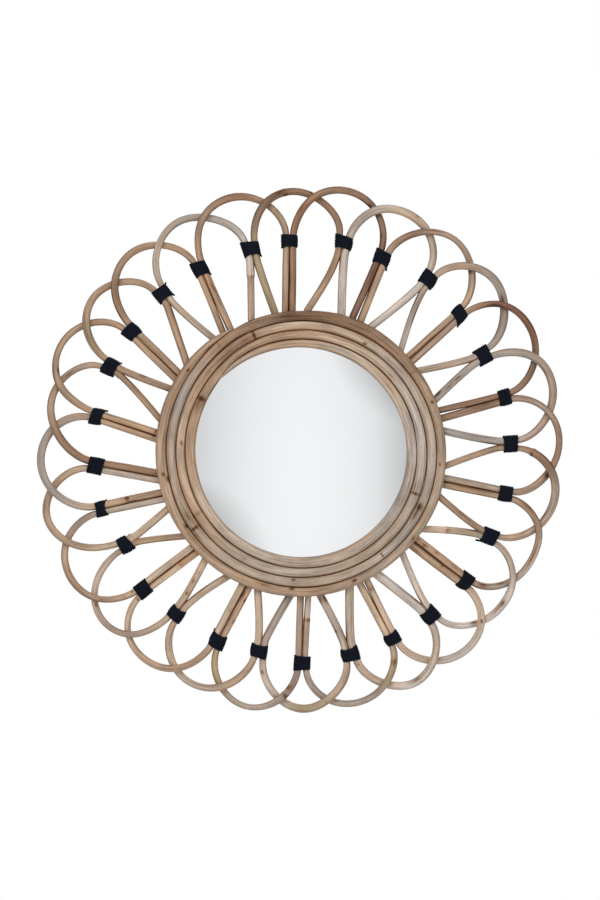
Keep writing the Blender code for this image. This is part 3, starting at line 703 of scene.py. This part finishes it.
def noise(vector, stretch, detail=3.0, roughness=0.55):
    """A noise from 0 to 1 that repeats so many times a metre along each axis."""
    near = node("VectorMath", {0: vector, 1: stretch}, operation="MULTIPLY")[0]
    return node("TexNoise", {"Vector": near, "Scale": 1.0, "Detail": detail,
                             "Roughness": roughness})["Fac"]


def ranged(value, low, high, to_low=0.0, to_high=1.0):
    return node("MapRange", {"Value": value, "From Min": low, "From Max": high,
                             "To Min": to_low, "To Max": to_high})["Result"]


def blended(factor, a, b, kind="MIX"):
    """A mix of two colours, each a socket or its red, green and blue.

    The Mix node's colours are its inputs 6 and 7 and its output 2.
    """
    a, b = ((*colour, 1.0) if isinstance(colour, tuple) else colour for colour in (a, b))
    return node("Mix", {0: factor, 6: a, 7: b}, data_type="RGBA", blend_type=kind)[2]


def bumped(height, strength, distance):
    return node("Bump", {"Height": height, "Strength": strength, "Distance": distance})[0]


def attribute(tree, name, kind):
    return node("Attribute", tree=tree, attribute_name=name)[kind]


def own_place(tree):
    return node("TexCoord", tree=tree)["Object"]


def finish(name, looks, *more):
    """A new material. looks works out in its tree what feeds its shader."""
    made = bpy.data.materials.new(name)
    made.use_nodes = True
    fed(made.node_tree.nodes["Principled BSDF"], looks(made.node_tree, *more))
    return made


def cane_grain():
    """Fibre, blotches, specks, dark marks and painted shade of a cane, laid along its length."""
    tree = bpy.data.node_groups.new("cane_grain", "ShaderNodeTree")
    for way, sockets in (
        ("INPUT", {"Tone": "Color", "Lay": "Vector", "MarkAndShade": "Float", "Contrast": "Float"}),
        ("OUTPUT", {"Color": "Color", "Roughness": "Float", "Height": "Float"}),
    ):
        for name, kind in sockets.items():
            tree.interface.new_socket(name, in_out=way, socket_type=f"NodeSocket{kind}")
    given = tree.nodes.new("NodeGroupInput").outputs
    lay = given["Lay"]
    fine = noise(lay, (60.0, 1400.0, 1400.0), 4.0, 0.6)
    broad = noise(lay, (18.0, 480.0, 480.0))
    drift = noise(lay, (26.0, 90.0, 90.0), 2.0)
    warmth = noise(lay, (11.0, 160.0, 160.0), 1.0)
    flecks = noise(lay, (190.0, 700.0, 700.0), 2.0)
    streaks = noise(lay, (22.0, 900.0, 900.0), 2.0)
    light = maths("ADD", ranged(fine, 0.3, 0.7, -0.18, 0.18), ranged(broad, 0.3, 0.7, -0.34, 0.28))
    light = maths("ADD", light, ranged(drift, 0.3, 0.7, -0.2, 0.18))
    light = maths("ADD", maths("MULTIPLY", light, given["Contrast"]), 1.0)
    # Dark marks and painted shade, from the mark attribute, brown the tone and then darken it
    ragged = ranged(broad, 0.35, 0.65, 1.25, 0.6)
    ragged = maths("MULTIPLY", given["MarkAndShade"], ragged, clamp=True)
    colour = scaled(given["Tone"], light)
    for share, tint in (
        (ranged(warmth, 0.45, 0.7, 0.0, 0.6), WARM),
        (ranged(warmth, 0.5, 0.28, 0.0, 0.5), COOL),
        (ranged(flecks, 0.66, 0.76, 0.0, 0.7), FLECK),
        (ranged(streaks, 0.62, 0.7, 0.0, 0.5), FLECK),
        (ranged(ragged, 0.0, 0.5), BROWNED_AND_SHADED),
        (ranged(ragged, 0.3, 1.0), STAINED_AND_SHADED),
    ):
        colour = blended(share, colour, tint, "MULTIPLY")
    fed(tree.nodes.new("NodeGroupOutput"), {
        "Color": colour, "Roughness": ranged(broad, 0.3, 0.7, 0.45, 0.62),
        "Height": maths("ADD", maths("MULTIPLY", fine, 0.6), broad)})
    return tree


def cane_looks(tree, grain, contrast, gloss):
    grown = node("Group", {
        "Tone": attribute(tree, "tone", "Color"), "Lay": attribute(tree, "lay", "Vector"),
        "MarkAndShade": attribute(tree, "mark_and_shade", "Fac"), "Contrast": contrast}, node_tree=grain, tree=tree)
    return {"Base Color": grown["Color"], "Roughness": grown["Roughness"],
            "Normal": bumped(grown["Height"], 0.35, 0.0004), "Specular IOR Level": gloss}


def cord_looks(tree):
    lay = attribute(tree, "lay", "Vector")
    strand = noise(lay, (700.0, 2600.0, 2600.0))
    dusty = noise(lay, (90.0, 300.0, 300.0), 2.0)
    tint = blended(ranged(strand, 0.3, 0.7), *CORD_TONES)
    return {"Base Color": blended(ranged(dusty, 0.5, 0.8, 0.0, 0.2), tint, CORD_DUST),
            "Roughness": ranged(strand, 0.2, 0.8, 0.65, 0.9),
            "Normal": bumped(strand, 0.5, 0.0003), "Specular IOR Level": 0.12}


def mirror_looks(tree):
    place = own_place(tree)
    smear = noise(place, (14.0, 14.0, 5.0))
    haze = noise(place, (3.0, 3.0, 3.0), 2.0)
    return {"Base Color": blended(haze, *SILVER_TONES), "Metallic": 1.0,
            "Roughness": ranged(smear, 0.4, 0.8, 0.0, 0.035)}


def board_looks(tree):
    place = own_place(tree)
    fibre = noise(place, (900.0, 900.0, 900.0), 4.0, 0.7)
    cloud = noise(place, (28.0, 28.0, 28.0))
    tint = blended(ranged(cloud, 0.3, 0.7), *BOARD_TONES)
    return {"Base Color": blended(ranged(fibre, 0.35, 0.7, 0.0, 0.5), tint, BOARD_FIBRE),
            "Roughness": ranged(cloud, 0.3, 0.7, 0.65, 0.85),
            "Normal": bumped(fibre, 0.3, 0.0003)}


def steel_looks(tree):
    place = own_place(tree)
    brushed = noise(place, (2500.0, 2500.0, 60.0))
    spots = noise(place, (240.0, 240.0, 240.0))
    return {"Base Color": blended(ranged(spots, 0.3, 0.7), *STEEL_TONES), "Metallic": 1.0,
            "Roughness": ranged(brushed, 0.3, 0.7, 0.25, 0.45),
            "Normal": bumped(brushed, 0.2, 0.0001)}


def floor_looks(tree):
    clouds = noise(own_place(tree), (3.0, 3.0, 3.0))
    return {"Base Color": blended(clouds, *FLOOR_TONES), "Roughness": 0.9}


# Canes


def along_petal(values, place):
    """The value at a place from 0 to 1 along a petal, from those of its legs, sides and tip."""
    at = np.interp(place, PETAL_PLACES, range(len(values)))
    i = min(int(at), len(values) - 2)
    t = (at - i) ** 2 * (3 - 2 * (at - i))
    return (1 - t) * np.array(values[i]) + t * np.array(values[i + 1])


def rounded_ends(girths, shares):
    for i, share in enumerate(shares):
        for j in (i, len(girths) - 1 - i):
            girths[j] = (girths[j][0] * share, girths[j][1] * share)


def marks_on(points, marks):
    """Where marks given by bearing and distance lie on a line: along it and across it."""
    points = np.array(points)[:, :2]
    gone = lengths_along(points)
    found = []
    for angle, distance, *shape in marks:
        away = distance * bearing(angle)[:2] - points
        i = int(np.argmin(np.linalg.norm(away, axis=1)))
        ahead = unit(heading(points, i))
        found.append((gone[i], ahead[0] * away[i][1] - ahead[1] * away[i][0], *shape))
    return found


def of_petal(k, rows):
    return [row[1:] for row in rows if row[0] == k + 1]


def shade(across, front, start, strength, found, gone, half):
    """How dark a place on a cane is, from painted shade on its sides and from marks in front."""
    sides = strength * max(0.0, (abs(across) - start) / (1.0 - start)) ** FLANK_POWER
    total = 0.0
    for at, aside, long, wide, dark in found:
        far = (gone - at) / (long + MARK_BLUR)
        if abs(far) < MARK_CUT and front > MARK_FRONT:
            off = (across * half - aside) / (wide + MARK_BLUR)
            total += MARK_STRENGTH * dark * math.exp(-far * far - off * off)
    return sides + min(1.0, total)


def node_shape(found, gone, whole):
    """How much wider nodes make a cane at a place along it, and the tone they give it, if any."""
    wider, tone = 0.0, ""
    for at, _, ridge, thinner, beyond in found:
        wider += ridge * math.exp(-((gone - at) / NODE_REACH) ** 2)
        inward = gone - at if at < whole / 2 else at - gone
        past = min(1.0, max(0.0, 0.5 - inward / NODE_REACH))
        wider -= past * thinner / 2
        if beyond and past > 0.5:
            tone = beyond
    return wider, tone


def crease(k, place):
    """How much a cane is shaded where it touches its partner, at a place between 0 and 1."""
    if forked(k):
        return CREASE_SHADE * max(0.0, 1.0 - abs(place - FORK_PLACE) / FORK_REACH)
    return CREASE_SHADE * min(1.0, max(0.0, (PAIR_PLACE - place) / FORK_REACH))


def petal(k, dice):
    row = PETALS[k]
    points = petal_line(k)
    count = len(points)
    colours = [TONES[name] for name in row.tones]
    wobble = [dice.uniform(-WOBBLE, WOBBLE) for _ in range(WOBBLE_KNOTS)]
    nodes = marks_on(points, of_petal(k, PETAL_NODES))
    found = marks_on(points, of_petal(k, PETAL_MARKS))
    swell = (*swells(k + 1), LEAVING_SWELL, ARC_SWELL,
             ARC_SWELL, LEAVING_SWELL, *swells(k - 1)[::-1])
    girths, tones = [], []
    for i in range(count):
        place = i / (count - 1)
        wider, changed = node_shape(nodes, CANE_STEP * i, CANE_STEP * count)
        half = (along_petal(row.widths, place) + np.interp(place, SWELL_PLACES, swell)) / 2
        half += wider + np.interp(place * (WOBBLE_KNOTS - 1), range(WOBBLE_KNOTS), wobble)
        girths.append((half, half))
        tones.append(TONES[changed] if changed else along_petal(colours, place))
    rounded_ends(girths, CANE_END)

    def label(i, across, front):
        place = i / (count - 1)
        # Painted shade darkens the cane's flanks, and its dark marks add to it
        mark_and_shade = shade(across, front, FLANK_START, FLANK_SHADE, found, CANE_STEP * i, girths[i][0])
        # Painted shade along the side where the cane touches its partner below a lashing
        if across > CREASE_EDGE and front > CREASE_FRONT:
            mark_and_shade += ((across - CREASE_EDGE) / (1.0 - CREASE_EDGE)
                     * max(crease(k + 1, place), crease(k - 1, 1.0 - place)))
        return (*tones[i], 1.0), min(1.0, mark_and_shade)

    return drawn_out(f"petal_cane_{k + 1:02d}", points, girths, CANE_SIDES, PETAL_LAY * k, label)


def ring_coil():
    """The flat spiral of thick cane, pared down at both ends where it meets itself."""
    turns = [0.0]
    while turns[-1] < RING_SWEEP:
        middle = sum(ring_edges(turns[-1])) / 2
        turns.append(min(RING_SWEEP, turns[-1] + math.degrees(RING_STEP / middle)))
    path = [sum(ring_edges(turn)) / 2 * bearing(RING_START_ANGLE - turn) for turn in turns]
    points = eased(path, RING_STEP, RING_SOFTENING)
    turns = -np.degrees(np.unwrap(np.arctan2(points[:, 1], points[:, 0])))
    turns -= turns[0]
    points += RING_HEIGHT * OFF_WALL
    girths = []
    for i, turn in enumerate(turns):
        inner, outer = ring_edges(turn)
        keep = min(1.0, RING_STEP * min(i, len(turns) - 1 - i) / PARED_LENGTH)
        girths.append(((outer - inner + RING_OVERLAP) / 2,
                       RING_DEPTH / 2 * (PARED_DEPTH + (1.0 - PARED_DEPTH) * keep)))
    rounded_ends(girths, CANE_END)
    places = [RING_TONE_STEP * (j + 0.5) for j in range(len(RING_TONES))]
    channels = list(zip(*(TONES[name] for name in RING_TONES)))
    found = marks_on(points, RING_MARKS)

    def label(i, across, front):
        tone = (lift * np.interp(turns[i], places, channel)
                for lift, channel in zip(RING_LIFT, channels))
        # Painted shade on the ring's flanks: deep in the grooves between turns, light on its open
        # inner and outer sides
        open_side = turns[-1] - turns[i] < OPEN_SWEEP if across > 0.0 else turns[i] < OPEN_SWEEP
        mark_and_shade = shade(across, front, GROOVE_START, FLANK_SHADE if open_side else GROOVE_SHADE,
                     found, RING_STEP * i, girths[i][0])
        return (*tone, 1.0), min(1.0, mark_and_shade)

    return drawn_out("ring_cane_coil", points, girths, RING_SIDES, RING_LAY, label)


def ring_edges(turn):
    """The inner and outer edge of the ring's cane, as distances from the mirror's middle."""
    turns, *edges = zip(*RING)
    return [np.interp(turn, turns, edge) for edge in edges]


# Lashings


def end_place(ends, share):
    """How far out one end of a winding lies, at a share of the way across from anticlockwise."""
    a, middle, c = ends
    return a + share * (4 * middle - 3 * a - c) + share * share * (2 * a + 2 * c - 4 * middle)


def lashing_line(k, dice):
    """The line of the cord: turns of a taut winding around two canes.

    They start on the anticlockwise side, lie straight across the front, and climb at the back.
    """
    row = LASHINGS[k]
    centre, out, across = lashing_frame(k)
    half = CORD_WIDTH / 2
    reach = {side: leg_width(k, side) / 2 + half - CORD_BITE for side in (1, -1)}
    sides = {side: [value - half + CORD_DIP for value in ends]
             for side, ends in ((1, row.side_a), (-1, row.side_c))}
    lows = [value + half for value in row.inner]
    highs = [value - half for value in row.outer]
    turns = math.ceil((sum(highs) - sum(lows)) / 3 / CORD_PITCH) + 1
    drift = [dice.uniform(-CORD_DRIFT, CORD_DRIFT) for _ in range(turns)]
    first = -CORD_STEPS // (2 if row.tail else 4)
    last = CORD_STEPS * turns - CORD_STEPS // (2 if row.loose and row.loose[0] > SIDE_REACH else 4)
    points = []
    for i in range(first, last):
        phase = math.tau * i / CORD_STEPS
        turn, part = divmod(i / CORD_STEPS, 1.0)
        climb = max(0.0, 2 * part - 1)
        level = min(max(turn + climb * climb * (3 - 2 * climb), 0.0), turns - 1.0)
        done = level / (turns - 1)
        side = 1 if math.cos(phase) > 0 else -1
        edge = end_place(sides[side], 1.0 - done)
        offset = side * (edge - reach[side]) + reach[side] * math.cos(phase)
        share = (sides[1][1] - offset) / (sides[1][1] + sides[-1][1])
        low, high = end_place(lows, share), end_place(highs, share)
        along = low + (high - low) * done + np.interp(level, range(turns), drift)
        points.append(centre + offset * across + along * out
                      + (CANE_HEIGHT + reach[side] * math.sin(phase)) * OFF_WALL)
    tail, loose = ([centre - end[0] * across + end[1] * out + CANE_HEIGHT * OFF_WALL] if end else []
                   for end in (row.tail, row.loose))
    return eased(tail + points + loose, CORD_STEP, CORD_SOFTENING)


def lashing(k, dice):
    points = lashing_line(k, dice)
    girths = [(CORD_WIDTH / 2, CORD_WIDTH / 2)] * len(points)
    rounded_ends(girths, CORD_END)
    out = lashing_frame(k)[1]
    return drawn_out(f"lashing_cord_{k + 1:02d}", points, girths, CORD_SIDES, CORD_LAY * k,
                     front=(out[0], 0.0, out[1]), twist=CORD_TWIST * CORD_STEP, lobe=CORD_LOBE)


# Glass, board and hanger


def stood(name, body, across, up, height):
    """A piece modelled lying on its back, moved to its place and stood up against the wall."""
    bmesh.ops.translate(body, vec=(across * MM, up * MM, height * MM), verts=body.verts)
    bmesh.ops.transform(body, matrix=Matrix.Rotation(math.pi / 2, 4, "X"), verts=body.verts)
    bmesh.ops.recalc_face_normals(body, faces=body.faces)
    return finished(name, body)


def turned_piece(name, profile, bevel):
    """A piece turned on a lathe around the ring's pole, from radius and height in millimetres."""
    body = bmesh.new()
    verts = [body.verts.new((radius * MM, 0.0, height * MM)) for radius, height in profile]
    edges = [body.edges.new(pair) for pair in zip(verts, verts[1:])]
    bmesh.ops.spin(body, geom=verts + edges, axis=(0.0, 0.0, 1.0), cent=(0.0, 0.0, 0.0),
                   angle=math.tau, steps=ROUND_SEGMENTS, use_merge=True)
    bmesh.ops.remove_doubles(body, verts=body.verts, dist=WELD * MM)
    bmesh.ops.recalc_face_normals(body, faces=body.faces)
    rims = [edge for edge in body.edges
            if len(edge.link_faces) == 2 and edge.calc_face_angle() > RIM_ANGLE]
    bmesh.ops.bevel(body, geom=rims, offset=bevel * MM, segments=3, affect="EDGES", profile=0.5,
                    material=-1)
    for face in body.faces:
        face.smooth = abs(face.normal.z) < FLAT
    return stood(name, body, *RING_POLE, 0.0)


def slab(name, size, up, corner, bottom, top):
    """A plate on the wall with rounded corners, its middle at a height above the mirror's."""
    body = bmesh.new()
    bmesh.ops.create_cube(body, size=1.0)
    deep = (top - bottom) * MM
    bmesh.ops.scale(body, vec=(size[0] * MM, size[1] * MM, deep), verts=body.verts)
    bmesh.ops.bevel(body, geom=upright(body, deep), offset=corner * MM, segments=6,
                    affect="EDGES", profile=0.5, material=-1)
    return stood(name, body, 0.0, up, (bottom + top) / 2)


def plug(name, radii, up, bottom, top):
    """A round plug on the wall, its middle at a height above the mirror's."""
    body = bmesh.new()
    bmesh.ops.create_cone(body, cap_ends=True, segments=PLUG_SIDES, radius1=radii[0] * MM,
                          radius2=radii[1] * MM, depth=(top - bottom) * MM)
    return stood(name, body, 0.0, up, (bottom + top) / 2)


def shaped(piece, *tools, operation="DIFFERENCE"):
    """The piece after each tool has been cut from it or joined to it. The tools are used up."""
    for tool in tools:
        change = piece.modifiers.new("shape", "BOOLEAN")
        change.operation = operation
        change.solver = "EXACT"
        change.object = tool
    bpy.context.view_layer.update()
    seen = piece.evaluated_get(bpy.context.evaluated_depsgraph_get())
    mesh = bpy.data.meshes.new_from_object(seen)
    piece.modifiers.clear()
    piece.data = mesh
    for tool in tools:
        bpy.data.objects.remove(tool)
    return piece


def back_board():
    rebate = [length + 2 * REBATE_GAP for length in PLATE_SIZE]
    return shaped(turned_piece("fibre_board", BOARD_PROFILE, BOARD_BEVEL),
                  slab("rebate", rebate, PLATE_CENTRE, PLATE_CORNER, THROUGH[0],
                       PLATE_THICKNESS + REBATE_GAP),
                  slab("pocket", POCKET_SIZE, POCKET_CENTRE, POCKET_CORNER, THROUGH[0],
                       POCKET_DEPTH))


def hanger_plate():
    plate = slab("keyhole_plate", PLATE_SIZE, PLATE_CENTRE, PLATE_CORNER, 0.0, PLATE_THICKNESS)
    slot_end = SLOT_TOP - SLOT_HALF_WIDTH
    slot = (2 * SLOT_HALF_WIDTH, slot_end - KEYHOLE_CENTRE)
    shaped(plate,
           plug("keyhole", 2 * (KEYHOLE_RADIUS,), KEYHOLE_CENTRE, *THROUGH),
           slab("slot", slot, (slot_end + KEYHOLE_CENTRE) / 2, SHARP_CORNER, *THROUGH),
           plug("slot_end", 2 * (SLOT_HALF_WIDTH,), slot_end, *THROUGH))
    for up in SCREW_PLACES:
        shaped(plate, plug("countersink", COUNTERSINK_RADII, up, *COUNTERSINK_ENDS))
        head = plug("head", SCREW_HEAD_RADII, up, *SCREW_HEAD_ENDS)
        cross = [slab("drive", size, up, SHARP_CORNER, THROUGH[0], DRIVE_DEPTH)
                 for size in DRIVE_SIZES]
        shaped(plate, shaped(head, *cross), operation="UNION")
    bevel = plate.modifiers.new("edges", "BEVEL")
    bevel.width = PLATE_BEVEL * MM
    bevel.segments = 2
    bevel.limit_method = "ANGLE"
    bevel.angle_limit = PLATE_ANGLE
    return plate


# Stage, light and camera


def pale_floor():
    body = bmesh.new()
    bmesh.ops.create_circle(body, cap_ends=True, segments=FLOOR_SEGMENTS, radius=FLOOR_RADIUS)
    bmesh.ops.translate(body, vec=(0.0, 0.0, FLOOR_LEVEL), verts=body.verts)
    floor = finished("pale_floor", body)
    floor.data.materials.append(finish("floor_plaster", floor_looks))


def lights():
    for name, place, size, power in LIGHTS:
        lamp = bpy.data.lights.new(name, "AREA")
        lamp.shape = "DISK"
        lamp.size = size
        lamp.energy = power
        holder = placed(name, lamp)
        holder.location = place
        holder.rotation_mode = "QUATERNION"
        holder.rotation_quaternion = (-Vector(place)).to_track_quat("-Z", "Y")


def studio():
    """A plain white surround, with the soft glow of a studio for the pieces to reflect."""
    world = bpy.data.worlds.new("studio")
    bpy.context.scene.world = world
    world.use_nodes = True
    tree = world.node_tree
    white = fed(tree.nodes["Background"], {"Color": (1.0, 1.0, 1.0, 1.0), "Strength": 1.0})[0]
    way = node("SeparateXYZ", {0: node("TexCoord", tree=tree)["Generated"]})
    depth = maths("MAXIMUM", maths("MULTIPLY", way["Y"], -1.0), LEAST_DEPTH)
    aside, above = (maths("DIVIDE", way[axis], depth) for axis in "XZ")
    fall = maths("ADD", ranged(aside, *GLOW_RIGHT),
                 ranged(maths("MULTIPLY", aside, above), *GLOW_CORNERS))
    for place, centre, drop in zip((aside, above), GLOW_CENTRE, GLOW_FALL):
        off = maths("SUBTRACT", place, centre)
        fall = maths("ADD", fall, maths("MULTIPLY", maths("MULTIPLY", off, off), drop))
    glow = maths("MAXIMUM", maths("SUBTRACT", GLOW_PEAK, fall), GLOW_FLOOR)
    sky = ranged(way["Z"], -1.0, 1.0, *AMBIENT)
    ahead = ranged(way["Y"], *GLOW_EDGE)
    level = node("Mix", {0: ahead, 2: sky, 3: glow}, data_type="FLOAT")[0]
    light = node("Background", {"Color": scaled(GLOW_TINT, level), "Strength": 1.0})[0]
    seen = node("LightPath", tree=tree)["Is Camera Ray"]
    mix = node("MixShader", {0: seen, 1: light, 2: white})[0]
    fed(tree.nodes["World Output"], {"Surface": mix})


def camera():
    made = bpy.data.cameras.new("camera")
    made.lens = LENS
    made.clip_end = FAR_END
    holder = placed("camera", made)
    far = LENS / made.sensor_width * VIEW_HEIGHT * MM
    holder.location = (VIEW_CENTRE[0] * MM, -far - CANE_HEIGHT * MM, VIEW_CENTRE[1] * MM)
    holder.rotation_euler = (math.pi / 2, 0.0, 0.0)
    bpy.context.scene.camera = holder


def main():
    dice = random.Random(SEED)
    grain = cane_grain()
    canes = {slot: finish(slot, cane_looks, grain, *look) for slot, look in CANE_FINISHES.items()}
    cord = finish("cord_navy", cord_looks)
    for k, row in enumerate(PETALS):
        hung(petal(k, dice), canes[row.slot], f"petal_{k + 1:02d}")
    for k in range(len(LASHINGS)):
        hung(lashing(k, dice), cord, f"lashing_{k + 1:02d}")
    hung(ring_coil(), canes["ring_cane"], "ring_coil")
    hung(turned_piece("mirror_pane", GLASS_PROFILE, GLASS_BEVEL),
         finish("mirror_silver", mirror_looks), "mirror_glass")
    hung(back_board(), finish("board_fibre", board_looks), "back_board")
    hung(hanger_plate(), finish("steel_brushed", steel_looks), "hanger_plate")
    pale_floor()
    lights()
    studio()
    camera()
    bpy.context.scene.view_settings.view_transform = "Standard"


main()
